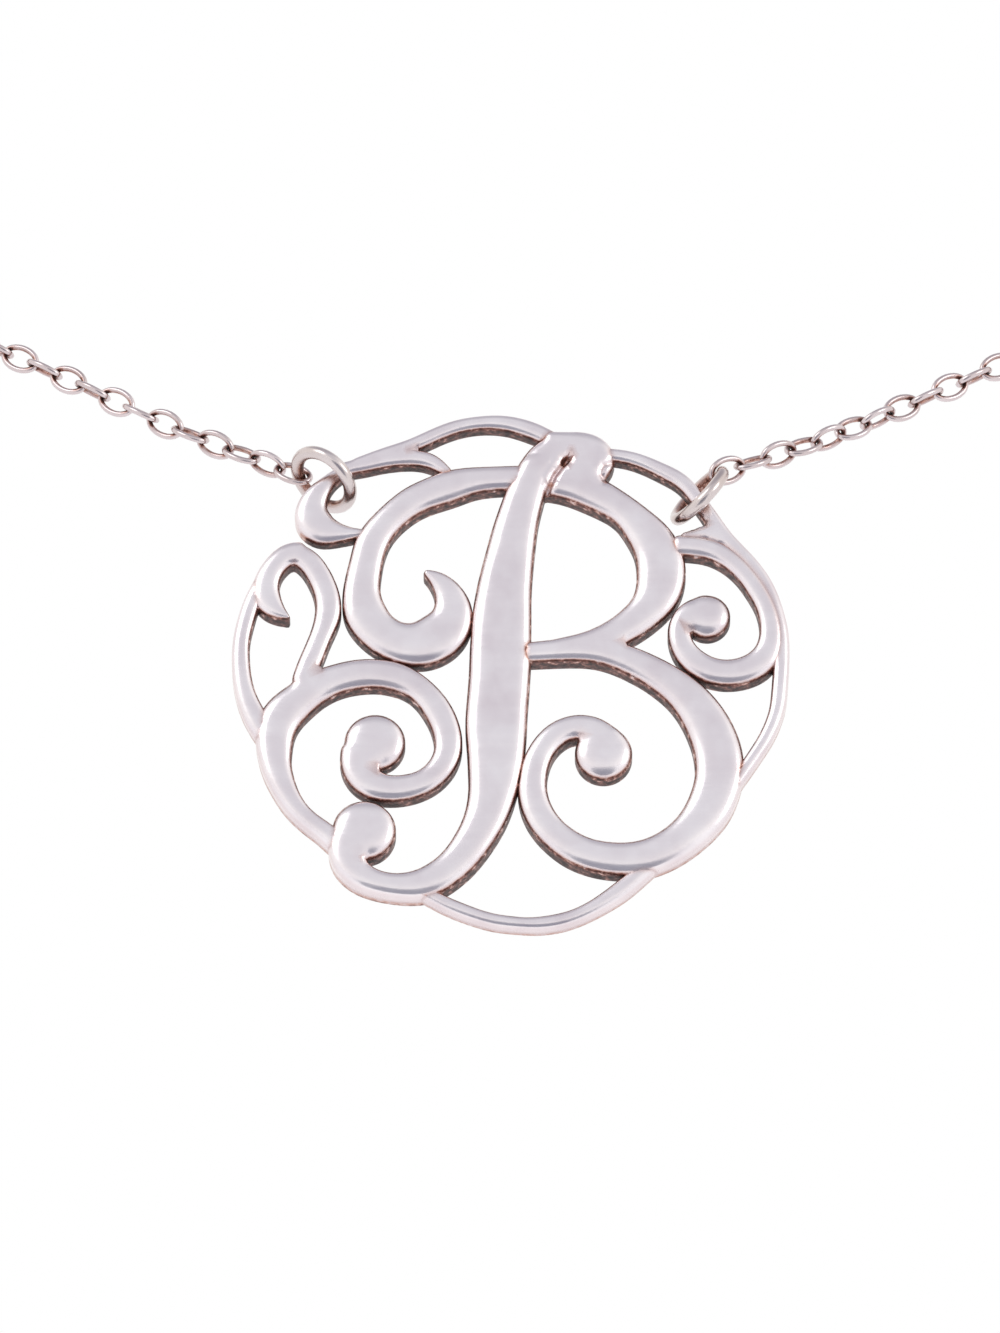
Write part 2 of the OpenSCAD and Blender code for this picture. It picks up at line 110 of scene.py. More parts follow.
RIGHT_SCROLL = [
    (9.6, 7.85, 1.3), (10.4, 7.85, 1.4), (11.4, 7.65, 1.3), (12.4, 7.1, 1.2), (13.3, 6.25, 1.15),
    (14.0, 5.25, 1.15), (14.6, 4.15, 1.2), (14.9, 3.05, 1.25), (14.95, 2.05, 1.4), (14.75, 1.15, 1.6),
    (14.2, 0.45, 1.7), (13.2, 0.0, 1.7), (12.1, -0.1, 1.65), (11.1, 0.2, 1.65), (10.25, 0.85, 1.55),
    (9.75, 1.65, 1.4), (9.6, 2.55, 1.35), (9.9, 3.35, 1.4), (10.6, 3.85, 1.6), (11.2, 3.95, 1.75)]
BOTTOM_ARC = [
    (-5.0, -13.6, 0.9), (-3.9, -14.3, 0.85), (-2.4, -14.95, 0.85), (-1.1, -15.4, 0.8), (0, -15.55, 0.8),
    (1.1, -15.65, 0.85), (2.2, -15.55, 0.87), (3.3, -15.3, 0.87), (4.4, -14.8, 0.9), (5.35, -14.2, 1.0),
    (6.3, -13.5, 1.1), (7.2, -12.7, 1.1), (8.0, -11.9, 1.1)]
# Ball ends: x, z and diameter in units of U
SCROLL_BALL, RIGHT_BALL = (-7.8, -4.4, 3.5), (11.25, 3.45, 2.7)
BOWL_BALL, STEM_BALL = (5.3, -5.1, 3.3), (-8.4, -9.9, 3.65)
# The metal either side of the pit in the middle of the cap's curl
PIT_SIDES = [(3.9, 13.05, 1.1), (2.65, 12.95, 0.8), (3.25, 13.1, 1.1), (3.0, 12.5, 0.9)]
# Metal that smooths the neck between the lower bowl's end and its ball
BALL_NECK = (5.6, -4.2, 1.56)
# The web of metal in the corner between the right rim and the right scroll's top
CORNER_WEB = [
    (11.95, 8.25, 0.8), (11.6, 8.4, 0.8), (11.25, 8.7, 0.95),
    (10.95, 8.6, 0.95), (10.5, 8.45, 0.9), (10.1, 8.35, 0.8)]
# Creases in the bowls' face: x and z along each, and its depth in mm. They run from the pit down beside the stem,
# round the end of the cap, and down in the pit itself
CAP_CREASES = [
    ([(3.2, 13.1), (2.85, 12.6), (2.5, 12.1), (2.25, 11.5), (2.1, 11.1)], 0.26),
    ([(5.9, 13.05), (5.35, 12.75), (5.15, 12.3), (5.4, 11.8)], 0.11),
    ([(3.35, 13.3), (3.1, 13.0)], 0.3)]
# Tarnish in the pit and along its crease: x, z and reach in units of U, and how much
PIT_STAINS = [(3.25, 13.1, 0.28, 0.5), (2.95, 12.75, 0.2, 0.32), (2.7, 12.3, 0.2, 0.28), (2.3, 11.6, 0.25, 0.45)]

# Jump rings: centre from the pendant's centre in units of U, the way the flat side faces, and the way the chain
# pulls. Wire and bore in mm
LEFT_RING = ((-10.78, -0.05, 12.14), (-0.57, -0.36, -0.74), (-15.3, 14, 12.5))
RIGHT_RING = ((10.86, 0.0, 11.17), (-0.71, -0.42, 0.57), (15, 0, 4))
RING_WIRE, RING_BORE = 0.75, 2.95
RING_R = (RING_BORE + RING_WIRE) / 2

# Chain, in mm: wire, pitch, clearance, and the links over which the twist at a ring dies out
LINK_WIRE, LINK_PITCH, LINK_GAP, TWIST_LINKS = 0.3, 1.7, 0.1, 8
# The middle of each half of the chain after its jump ring, from the nape, in mm
RIGHT_ROUTE = [
    (18.5, -106.4, -85.5), (26, -104, -81.05), (38, -100, -73.8), (48.5, -92.5, -65), (56, -80.5, -54.5),
    (59, -65, -43), (57, -48, -30.5), (50, -32, -18.5), (38.5, -18, -8.5), (26, -8, -2.8),
    (13, -1.8, -0.3)]
LEFT_ROUTE = [
    (-19, -105.6, -84.8), (-26, -103.6, -80.5), (-38, -99.7, -73.1), (-48.5, -92.3, -64.5), (-56, -80.4, -54.2),
    (-59, -65, -42.9), (-57, -48, -30.5), (-50, -32, -18.5), (-38.5, -18, -8.5), (-26, -8, -2.8),
    (-13, -1.8, -0.3)]
# Clasp with its eye, and end ring, in mm. The eye is soldered into the clasp's ring by EYE_SUNK
CLASP_D, CLASP_WIRE, EYE_D, EYE_WIRE, END_RING_D, END_RING_WIRE, EYE_SUNK = 6.0, 1.1, 2.6, 0.6, 4.0, 0.6, 0.35
CLASP_R, EYE_R, END_RING_R = (CLASP_D - CLASP_WIRE) / 2, (EYE_D - EYE_WIRE) / 2, (END_RING_D - END_RING_WIRE) / 2
CLASP_X = -1.2
EYE_X = CLASP_X - CLASP_R - EYE_R - (EYE_WIRE + CLASP_WIRE) / 2 + EYE_SUNK
END_RING_X = CLASP_X + CLASP_R - CLASP_WIRE / 2 - LINK_GAP - END_RING_WIRE / 2 + END_RING_R


def linear(hex_colour):
    """An sRGB hex colour as linear RGBA."""
    parts = [int(hex_colour[i:i + 2], 16) / 255 for i in (1, 3, 5)]
    return tuple(c / 12.92 if c <= 0.04045 else ((c + 0.055) / 1.055) ** 2.4 for c in parts) + (1.0,)


def add(tree, kind, links=None, **settings):
    """A node with its settings. links maps an input to another node's output, or to a value."""
    node = tree.nodes.new(kind)
    for name, value in settings.items():
        setattr(node, name, value)
    for key, value in (links or {}).items():
        if isinstance(value, bpy.types.NodeSocket):
            tree.links.new(value, node.inputs[key])
        else:
            node.inputs[key].default_value = value
    return node


def ramp(tree, factor, stops):
    """The colour that a factor picks from (place, hex colour) stops."""
    node = add(tree, "ShaderNodeValToRGB", {"Fac": factor})
    first, last = node.color_ramp.elements
    first.position, first.color = stops[0][0], linear(stops[0][1])
    last.position, last.color = stops[-1][0], linear(stops[-1][1])
    for place, colour in stops[1:-1]:
        node.color_ramp.elements.new(place).color = linear(colour)
    return node.outputs["Color"]


# From bare silver, through a yellow-pink film, to the brown-black sulphide of a deep recess
TARNISH = [
    (0.0, "#FFFFFF"), (0.14, "#F4ECEA"), (0.25, "#E0D2CF"), (0.35, "#DDBBAC"), (0.48, "#9A7065"),
    (0.6, "#755148"), (0.82, "#4C332C"), (1.0, "#332421")]


def silver(name, face, dull, rough, deep_rough, waviness):
    """Polished sterling silver, cast or drawn. Its recesses keep the brown to black sulphide that polishing
    doesn't reach. The tarnish attribute says where, and noise breaks its edge up. face and dull are the two tints
    of the polished metal, rough and deep_rough its roughness where polished and where tarnished, and waviness is
    the height in metres of the waves that hand finishing leaves."""
    mat = bpy.data.materials.new(name)
    mat.use_nodes = True
    tree = mat.node_tree
    tree.nodes.clear()
    at = add(tree, "ShaderNodeTexCoord").outputs["Object"]
    deep = add(tree, "ShaderNodeAttribute", attribute_name="tarnish").outputs["Fac"]
    # Sulphide mottle about 0.4 mm across, with a finer grain of the cast skin about 0.12 mm
    blotch = add(tree, "ShaderNodeTexNoise", {
        "Vector": at, "Scale": 1 / 0.0004, "Detail": 3.0, "Roughness": 0.65}).outputs["Fac"]
    grain = add(tree, "ShaderNodeTexNoise", {"Vector": at, "Scale": 1 / 0.00012, "Detail": 2.0}).outputs["Fac"]
    spread = add(tree, "ShaderNodeMapRange", {
        "Value": blotch, "From Min": 0.3, "From Max": 0.7, "To Min": -0.38, "To Max": 0.38}).outputs["Result"]
    near = add(tree, "ShaderNodeMapRange", {"Value": deep, "From Min": 0.2, "From Max": 0.6}).outputs["Result"]
    uneven = add(tree, "ShaderNodeMath", {0: spread, 1: near}, operation="MULTIPLY").outputs["Value"]
    amount = add(tree, "ShaderNodeMath", {0: deep, 1: uneven}, operation="ADD", use_clamp=True).outputs["Value"]
    colour = ramp(tree, amount, TARNISH)
    # A faint warmer and cooler drift over the polished faces, some 2 mm long
    drift = add(tree, "ShaderNodeTexNoise", {"Vector": at, "Scale": 1 / 0.0022, "Detail": 4.0}).outputs["Fac"]
    tint = ramp(tree, drift, [(0.3, face), (0.75, dull)])
    colour = add(tree, "ShaderNodeMix", {0: 1.0, 6: colour, 7: tint}, data_type="RGBA",
                 blend_type="MULTIPLY").outputs[2]
    # Polishing marks some 4 mm long. Real ones lie hundredths of a millimetre apart, and are drawn 0.12 mm apart
    # so that they show as a slight unevenness of the gloss
    lines = add(tree, "ShaderNodeMapping", {
        "Vector": at, "Scale": (1 / 0.004, 1 / 0.004, 1 / 0.00012), "Rotation": (0, 0.5, 0)}).outputs["Vector"]
    marks = add(tree, "ShaderNodeTexNoise", {"Vector": lines, "Scale": 1.0, "Detail": 2.0}).outputs["Fac"]
    polish = add(tree, "ShaderNodeMapRange", {
        "Value": marks, "From Min": 0.35, "From Max": 0.75, "To Min": rough, "To Max": rough + 0.08}).outputs["Result"]
    roughness = add(tree, "ShaderNodeMix", {0: amount, 2: polish, 3: deep_rough}, data_type="FLOAT").outputs[0]
    # The waves of hand finishing are about 3 mm long
    wave = add(tree, "ShaderNodeTexNoise", {"Vector": at, "Scale": 1 / 0.003, "Detail": 1.0}).outputs["Fac"]
    soft = add(tree, "ShaderNodeBump", {"Height": wave, "Distance": waviness, "Strength": 1.0}).outputs["Normal"]
    pitted = add(tree, "ShaderNodeMath", {0: grain, 1: amount}, operation="MULTIPLY").outputs["Value"]
    relief = add(tree, "ShaderNodeBump", {
        "Height": pitted, "Distance": 0.00004, "Strength": 0.8, "Normal": soft}).outputs["Normal"]
    # Thick sulphide covers the metal, and reflects as a dark dull skin
    bare = add(tree, "ShaderNodeMapRange", {
        "Value": amount, "From Min": 0.4, "From Max": 0.8, "To Min": 1.0, "To Max": 0.3}).outputs["Result"]
    shader = add(tree, "ShaderNodeBsdfPrincipled", {
        "Base Color": colour, "Metallic": bare, "Roughness": roughness, "Normal": relief})
    add(tree, "ShaderNodeOutputMaterial", {"Surface": shader.outputs["BSDF"]})
    return mat


# The cast pendant is the whitest and waves the most. Drawn chain wire is thin, smooth and a little greyer. The
# rings' wire is between the two, dulled by rubbing on the pendant and the links
cast_silver = silver("cast sterling silver, polished", "#FFFDFE", "#F0EAED", 0.19, 0.5, 0.00005)
drawn_silver = silver("drawn silver wire", "#E6DDDD", "#D3C7C5", 0.15, 0.45, 0.000006)
soldered_silver = silver("silver ring wire, dulled by wear", "#E6E0DE", "#D8CEC9", 0.18, 0.45, 0.00001)


def unit(v):
    v = np.asarray(v, float)
    return v / np.linalg.norm(v)


def unit_rows(v):
    return v / np.linalg.norm(v, axis=1)[:, None]


def to_left(ahead):
    """Directions in x and z, each turned a quarter turn."""
    return np.stack([-ahead[:, 1], ahead[:, 0]], axis=1)


def share(value):
    """A value held between 0 and 1."""
    return min(1.0, max(0.0, value))


def lengths_along(points):
    """The distance along a run of points to each of them."""
    return np.concatenate([[0], np.cumsum(np.linalg.norm(np.diff(points, axis=0), axis=1))])


def smooth_rows(rows, n):
    """The same smooth curve through a table's rows that the CAD model follows, n steps between two rows."""
    t = np.asarray(rows, float)
    t = np.vstack([2 * t[0] - t[1], t, 2 * t[-1] - t[-2]])
    out = []
    for i in range(1, len(t) - 2):
        a, b, c, d = t[i - 1:i + 3]
        for k in range(n):
            s = k / n
            out.append(0.5 * (2 * b + (c - a) * s + (2 * a - 5 * b + 4 * c - d) * s ** 2
                              + (3 * b - a - 3 * c + d) * s ** 3))
    out.append(t[-2])
    return np.array(out)


def evenly(rows, step):
    """Rows along a curve about step apart."""
    length = lengths_along(rows[:, :2])
    places = np.linspace(0, length[-1], max(int(length[-1] / step), 4) + 1)
    return np.stack([np.interp(places, length, rows[:, k]) for k in range(rows.shape[1])], axis=1)


def eased(values, passes):
    """Values round a closed outline, averaged with their neighbours some passes over."""
    for _ in range(passes):
        values = 0.25 * np.roll(values, 1, axis=0) + 0.5 * values + 0.25 * np.roll(values, -1, axis=0)
    return values


# The polished edge rolls over: distance in from the outline and drop below the face, in mm, where a stroke's half
# width is FULL_ROLL_HALF or more. The back's edge is only broken
ROLL = [
    (0.0, 0.5), (0.03, 0.4), (0.08, 0.315), (0.16, 0.225), (0.29, 0.145), (0.48, 0.078), (0.74, 0.03), (1.12, 0.0)]
BACK_ROLL = [(0.0, 0.22), (0.04, 0.11), (0.11, 0.04), (0.2, 0.0)]
FULL_ROLL_HALF = 1.3
BALL_DOME = 0.03      # the polished balls' crown, in mm
CREASE_REACH = 0.17   # in units of U
# Steps in mm along a stroke's middle, along an outline and over the flats, and the least distance between two
# points of one row along a narrow place
STROKE_STEP, STEP_ALONG, STEP_FLAT, ROW_CELL = 0.22, 0.17, 0.34, 0.075
# Hand finishing leaves a stroke's half width up to this many mm off, changing over about 2 mm
WANDER = 0.025
BALL_SIDES = 44


def stroke_pieces(rows):
    """A stroke's outline in mm as convex pieces: a quad between each two cross sections, and a rounded tip at each
    end. Each comes with its half width."""
    curve = evenly(smooth_rows(rows, 12) * U, STROKE_STEP)
    for _ in range(10):
        curve[1:-1] = 0.25 * curve[:-2] + 0.5 * curve[1:-1] + 0.25 * curve[2:]
    ahead = unit_rows(np.gradient(curve[:, :2], axis=0))
    side = to_left(ahead)
    seed = Vector((rows[0][0], rows[0][1], 3.0))
    half = np.array([max(0.05, w / 2 + WANDER * noise.noise(Vector((x, z, 0.0)) * 0.55 + seed)) for x, z, w in curve])
    left, right = curve[:, :2] + side * half[:, None], curve[:, :2] - side * half[:, None]
    pieces = [(np.array([right[i], right[i + 1], left[i + 1], left[i]]), half[i]) for i in range(len(curve) - 1)]
    for end, sign in ((0, -1), (-1, 1)):
        turns = np.linspace(-math.pi / 2, math.pi / 2, 9)
        tip = [curve[end, :2] + half[end] * (0.6 * sign * ahead[end] * math.cos(t) + side[end] * math.sin(t))
               for t in turns]
        pieces.append((np.array(tip), half[end]))
    return pieces


def ball_piece(ball):
    """A ball's round outline in mm as one convex piece, with its half width."""
    x, z, d = ball
    turns = np.arange(BALL_SIDES) * 2 * math.pi / BALL_SIDES
    return np.stack([x + d / 2 * np.cos(turns), z + d / 2 * np.sin(turns)], axis=1) * U, d * U / 2


def boundary(triangles):
    """Directed edges with the inside on their left that only one triangle has."""
    edges = {(t[i], t[(i + 1) % 3]) for t in triangles for i in range(3)}
    return [e for e in edges if (e[1], e[0]) not in edges]


def flush_outlines(pieces):
    """The outlines of the pieces' union: closed runs of points in mm about STEP_ALONG / 3 apart."""
    points, faces = [], []
    for shape, _ in pieces:
        spokes = shape - shape.mean(axis=0)
        order = np.argsort(np.arctan2(spokes[:, 1], spokes[:, 0]))
        faces.append([len(points) + k for k in range(len(shape))])
        points.extend(Vector(p) for p in shape[order])
    verts, _, tris, _, _, owners = delaunay_2d_cdt(points, [], faces, 0, 1e-4)
    follow = {}
    for a, b in boundary([tuple(t) for t, owner in zip(tris, owners) if owner]):
        follow.setdefault(a, []).append(b)
    least_area = 0.03
    runs = []
    while follow:
        start = at = next(iter(follow))
        run = []
        while at in follow:
            run.append(verts[at][:])
            ahead = follow[at].pop()
            if not follow[at]:
                del follow[at]
            at = ahead
            if at == start:
                break
        run = np.array(run)
        x, z = run[:, 0], run[:, 1]
        if abs(0.5 * np.sum(x * np.roll(z, -1) - z * np.roll(x, -1))) < least_area:
            continue
        closed = np.vstack([run, run[:1]])
        length = lengths_along(closed)
        count = 3 * max(4, round(length[-1] / STEP_ALONG))
        places = np.arange(count) * length[-1] / count
        runs.append(eased(np.stack([np.interp(places, length, closed[:, k]) for k in (0, 1)], axis=1), 4))
    return runs


def within(points, starts, ends):
    """Which points lie inside closed outlines, holes left out. A batch at a time keeps the memory small."""
    batch = 1500
    inside = np.zeros(len(points), bool)
    for k in range(0, len(points), batch):
        x, z = points[k:k + batch, 0:1], points[k:k + batch, 1:2]
        passes = (starts[:, 1] > z) != (ends[:, 1] > z)
        rise = np.where(passes, ends[:, 1] - starts[:, 1], 1.0)
        cross = starts[:, 0] + (z - starts[:, 1]) * (ends[:, 0] - starts[:, 0]) / rise
        inside[k:k + batch] = (np.sum(passes & (x < cross), axis=1) % 2) == 1
    return inside


def sheet(rim, edges, inner):
    """Triangles over the inside of an outline: points, triangles, and where each of the rim's points went."""
    points = [Vector(p) for p in rim] + [Vector(p) for p in inner]
    verts, _, tris, origins, _, _ = delaunay_2d_cdt(points, [tuple(e) for e in edges], [], 0, 1e-5)
    flat, tris = np.array([v[:] for v in verts]), np.array(tris)
    edges = np.array(edges)
    rim = np.asarray(rim)
    tris = tris[within(flat[tris].mean(axis=1), rim[edges[:, 0]], rim[edges[:, 1]])]
    went = {source: i for i, sources in enumerate(origins) for source in sources}
    return flat, tris, went


def from_line(x, z, line):
    """Distance from a point to a line of points, all in units of U."""
    best = 99.0
    for (ax, az), (bx, bz) in zip(line, line[1:]):
        t = share(((x - ax) * (bx - ax) + (z - az) * (bz - az)) / ((bx - ax) ** 2 + (bz - az) ** 2))
        best = min(best, math.hypot(x - ax - t * (bx - ax), z - az - t * (bz - az)))
    return best


def roll_room(runs, pieces):
    """A tree of the outlines' points, and for each the share of the full roll that its stroke has room for."""
    widths = KDTree(sum(len(shape) for shape, _ in pieces))
    halves = []
    for shape, half in pieces:
        for p in shape:
            widths.insert((p[0], p[1], 0), len(halves))
            halves.append(half)
    widths.balance()
    tree = KDTree(sum(len(run) for run in runs))
    room = []
    for run in runs:
        local = np.array([min(1.0, halves[widths.find((x, z, 0))[1]] / FULL_ROLL_HALF) for x, z in run])
        for (x, z), w in zip(run, eased(local, 24)):
            tree.insert((x, z, 0), len(room))
            room.append(w)
    tree.balance()
    return tree, room


def rim_and_rows(runs, room, rim_near):
    """The rim's points and edges, and rows of points inside it, one for each step of ROLL after the first."""
    rim, edges, inner, taken = [], [], [], set()
    at = 0
    for run in runs:
        inwards = to_left(unit_rows(np.roll(run, -1, axis=0) - np.roll(run, 1, axis=0)))
        chosen = range(1, len(run), 3)  # the outline is three times as fine as the mesh
        edges += [(len(rim) + k, len(rim) + (k + 1) % len(chosen)) for k in range(len(chosen))]
        rim += [run[i] for i in chosen]
        for row, (s, _) in enumerate(ROLL[1:]):
            for i in chosen:
                reach = s * room[at + i]
                p = run[i] + inwards[i] * reach
                cell = (row, round(p[0] / ROW_CELL), round(p[1] / ROW_CELL))
                # A point that lies nearer to another part of the rim belongs to that part
                if cell in taken or rim_near(p)[0] < 0.95 * reach - 0.004:
                    continue
                taken.add(cell)
                inner.append(p)
        at += len(run)
    return rim, edges, inner


def flat_grid(rim, edges):
    """A staggered grid of points over the inside of a rim."""
    low, high = np.min(rim, axis=0), np.max(rim, axis=0)
    grid = np.array([(x + 0.5 * STEP_FLAT * (j % 2), z) for j, z in enumerate(np.arange(low[1], high[1], STEP_FLAT))
                     for x in np.arange(low[0], high[0], STEP_FLAT)])
    rim, edges = np.array(rim), np.array(edges)
    return grid[within(grid, rim[edges[:, 0]], rim[edges[:, 1]])]


def crease_rows(line):
    """Rows of points in mm along a crease and to both sides of it."""
    line = evenly(np.array([(x * U, z * U, 0) for x, z in line], float), 0.12)[:, :2]
    side = to_left(unit_rows(np.gradient(line, axis=0)))
    return [p for offset in (-0.24, -0.14, -0.06, 0, 0.06, 0.14, 0.24) for p in line + offset * side]


def roll_scale(room):
    """The roll of a narrow stroke falls less."""
    return 0.6 + 0.4 * room


def half_thickness(flat, profile, thickness_at, rim_near, balls=(), creases_at=()):
    """The height of a face above the casting's middle, in mm: it rolls down towards its rim, stands up over the
    wide balls and sinks along the creases."""
    out = []
    for x, z in flat:
        far, room = rim_near((x, z))
        fall = np.interp(far / room, [s for s, _ in profile], [d for _, d in profile]) * roll_scale(room)
        for bx, bz, d in balls:
            off = math.hypot(x / U - bx, z / U - bz)
            if d > 2 and off < d / 2:
                fall += BALL_DOME * (off / (d / 2)) ** 2 - BALL_DOME
        fall += sum(deep * math.exp(-(from_line(x / U, z / U, line) / CREASE_REACH) ** 2) for line, deep in creases_at)
        out.append(thickness_at(z / U) / 2 - fall)
    return np.array(out)


def level_solid(name, thickness_at, strokes, balls, creases_at=()):
    """All the strokes of one level as one flush solid with a single rolled edge round it."""
    pieces = [piece for rows in strokes for piece in stroke_pieces(rows)] + [ball_piece(ball) for ball in balls]
    runs = flush_outlines(pieces)
    tree, room = roll_room(runs, pieces)

    def rim_near(p):
        """How far a point is from the outlines, and the room for the roll at the nearest place."""
        _, i, far = tree.find((p[0], p[1], 0))
        return far, room[i]

    rim, edges, inner = rim_and_rows(runs, room, rim_near)
    # The grid of the flats starts 0.12 mm beyond the roll
    grid = flat_grid(rim, edges)
    for p in grid:
        far, here = rim_near(p)
        if far > ROLL[-1][0] * here + 0.12:
            inner.append(p)
    for line, _ in creases_at:
        inner += [p for p in crease_rows(line) if rim_near(p)[0] > 0.06]
    front, front_tris, _ = sheet(rim, edges, inner)
    outer = boundary([tuple(t) for t in front_tris])
    used = sorted({i for e in outer for i in e})
    number = {i: k for k, i in enumerate(used)}
    # The back keeps the points some 0.04, 0.1 and 0.18 mm in for its broken edge, and the grid
    back_inner = [p for s in (0.04, 0.1, 0.18) for p in inner if abs(rim_near(p)[0] - s) < 0.02]
    back_inner += [p for p in grid if rim_near(p)[0] > 0.3]
    back, back_tris, went = sheet(front[used], [(number[a], number[b]) for a, b in outer], back_inner)

    top = half_thickness(front, ROLL, thickness_at, rim_near, balls, creases_at)
    under = half_thickness(back, BACK_ROLL, thickness_at, rim_near)
    for i in used:
        scale, half = roll_scale(rim_near(front[i])[1]), thickness_at(front[i][1] / U) / 2
        top[i] = half - ROLL[0][1] * scale
        under[went[number[i]]] = half - BACK_ROLL[0][1] * scale
    verts = [(x, -h, z) for (x, z), h in zip(front, top)] + [(x, h, z) for (x, z), h in zip(back, under)]
    shift = len(front)
    faces = [tuple(t) for t in front_tris] + [tuple(shift + i for i in reversed(t)) for t in back_tris]
    # The wall, in rows from the front's edge to the back's
    rows = [{i: i for i in used}]
    for part in (0.15, 0.4, 0.7):
        row = {}
        for i in used:
            y0, y1 = -top[i], under[went[number[i]]]
            row[i] = len(verts)
            verts.append((front[i][0], y0 + (y1 - y0) * part, front[i][1]))
        rows.append(row)
    rows.append({i: shift + went[number[i]] for i in used})
    for upper, lower in zip(rows, rows[1:]):
        faces += [(upper[b], upper[a], lower[a], lower[b]) for a, b in outer]
    bm = bmesh.new()
    made = [bm.verts.new(v) for v in verts]
    for face in faces:
        bm.faces.new([made[i] for i in face])
    bmesh.ops.delete(bm, geom=[v for v in bm.verts if not v.link_faces], context="VERTS")
    bmesh.ops.scale(bm, verts=bm.verts, vec=(MM, MM, MM))
    bmesh.ops.translate(bm, verts=bm.verts, vec=Vector(PENDANT_AT) * MM)
    mesh = bpy.data.meshes.new(name)
    bm.to_mesh(mesh)
    bm.free()
    piece = bpy.data.objects.new(name, mesh)
    bpy.context.scene.collection.objects.link(piece)
    return piece


def joined(target, tools):
    """The levels united, so that the casting is one skin with true grooves where one level passes over another."""
    for tool in tools:
        cut = target.modifiers.new("unite", "BOOLEAN")
        cut.operation, cut.solver, cut.object = "UNION", "MANIFOLD", tool
        graph = bpy.context.evaluated_depsgraph_get()
        mesh = bpy.data.meshes.new_from_object(target.evaluated_get(graph))
        target.modifiers.clear()
        old, target.data = target.data, mesh
        bpy.data.meshes.remove(old)
        old = tool.data
        bpy.data.objects.remove(tool)
        bpy.data.meshes.remove(old)
    return target


def stem_thickness(z):
    """The stem stands proud of the bowls, and sinks below their face towards its top, where the cap meets it flush."""
    start, length, sunk = 12.9, 0.9, 0.2
    t = share((z - start) / length)
    return STEM_T - sunk * t * t * (3 - 2 * t)


def cast_pendant():
    """The casting. The stem's top is in the bowls' level too, so that it runs into the cap without a step."""
    levels = [
        level_solid("rims", lambda z: RIM_T, [TOP_ARC, SHOULDER, LEFT_RIM, RIGHT_RIM, BOTTOM_ARC, TEARDROP],
                    CORNER_WEB),
        level_solid("scrolls", lambda z: SCROLL_T, [HEART_LEFT, HEART_RIGHT, LEFT_SCROLL, RIGHT_SCROLL],
                    [SCROLL_BALL, RIGHT_BALL]),
        level_solid("left_bowl", lambda z: LEFT_BOWL_T, [LEFT_BOWL], []),
        level_solid("bowls", lambda z: BOWL_T, [CAP, UPPER_BOWL, LOWER_BOWL, STEM[:6]],
                    [BOWL_BALL, BALL_NECK] + PIT_SIDES, CAP_CREASES),
        level_solid("stem", stem_thickness, [STEM], [STEM_BALL])]
    pendant = joined(levels[0], levels[1:])
    pendant.name = pendant.data.name = "cast_pendant"
    return pendant


# Where tarnish sits thick in the grooves: x, z and reach in units of U, and how much. Elsewhere they keep THIN_STAIN
STAINS = [
    (-2.3, 3.0, 1.5, 0.8), (-9.7, 5.0, 0.9, 0.75), (-2.7, -4.3, 1.2, 0.75), (0.5, -7.0, 1.4, 0.7),
    (1.2, 1.3, 0.9, 0.6), (3.2, 13.0, 0.6, 0.36), (2.3, 12.7, 0.9, 0.3), (1.6, 14.2, 0.8, 0.6),
    (-0.6, 12.0, 0.9, 0.6), (-12.2, 7.2, 0.7, 0.5), (-10.3, -0.8, 0.8, 0.4), (8.9, 7.8, 0.8, 0.55),
    (9.9, -0.7, 0.8, 0.4), (-3.9, 12.9, 0.7, 0.6), (13.3, -6.0, 0.7, 0.5)]
THIN_STAIN = 0.24
GROOVE_REACH = 0.14   # how far a groove's tarnish spreads, in mm
GROOVE_ANGLE = 24     # a fold sharper than this many degrees is a groove
SHARP_ANGLE = 34      # and an edge sharper than this keeps its crisp line


def creases(bm):
    """Points along the grooves where one level meets another, 0.1 mm apart."""
    found = []
    for edge in bm.edges:
        if len(edge.link_faces) == 2 and not edge.is_convex and edge.calc_face_angle() > math.radians(GROOVE_ANGLE):
            a, b = (v.co for v in edge.verts)
            for k in range(1 + int((b - a).length / (0.1 * MM))):
                found.append(a.lerp(b, min(1.0, k * 0.1 * MM / max((b - a).length, 1e-9))))
            found.append(b.copy())
    return found


def hollow_at(tree, at, flat, middle):
    """How far a place on a wall faces other metal across a hole, from 0 to 1. Rays go out from the wall, level with
    the casting, and all but one of those that meet metal count."""
    deepest = 0.35 * MM
    y = middle + max(-deepest, min(deepest, at.y - middle))
    start = Vector((at.x, y, at.z)) + flat * 0.16 * MM
    hits = 0
    for turn in (-60, -30, 0, 30, 60):
        c, s = math.cos(math.radians(turn)), math.sin(math.radians(turn))
        ray = Vector((flat.x * c - flat.z * s, 0, flat.x * s + flat.z * c))
        hits += tree.ray_cast(start, ray, 12 * MM)[0] is not None
    return max(0.0, (hits - 1) / 4)


def strongest(stains, x, z):
    """The strongest of the stains at a place."""
    return max(amount * math.exp(-((x - sx) ** 2 + (z - sz) ** 2) / reach ** 2) for sx, sz, reach, amount in stains)


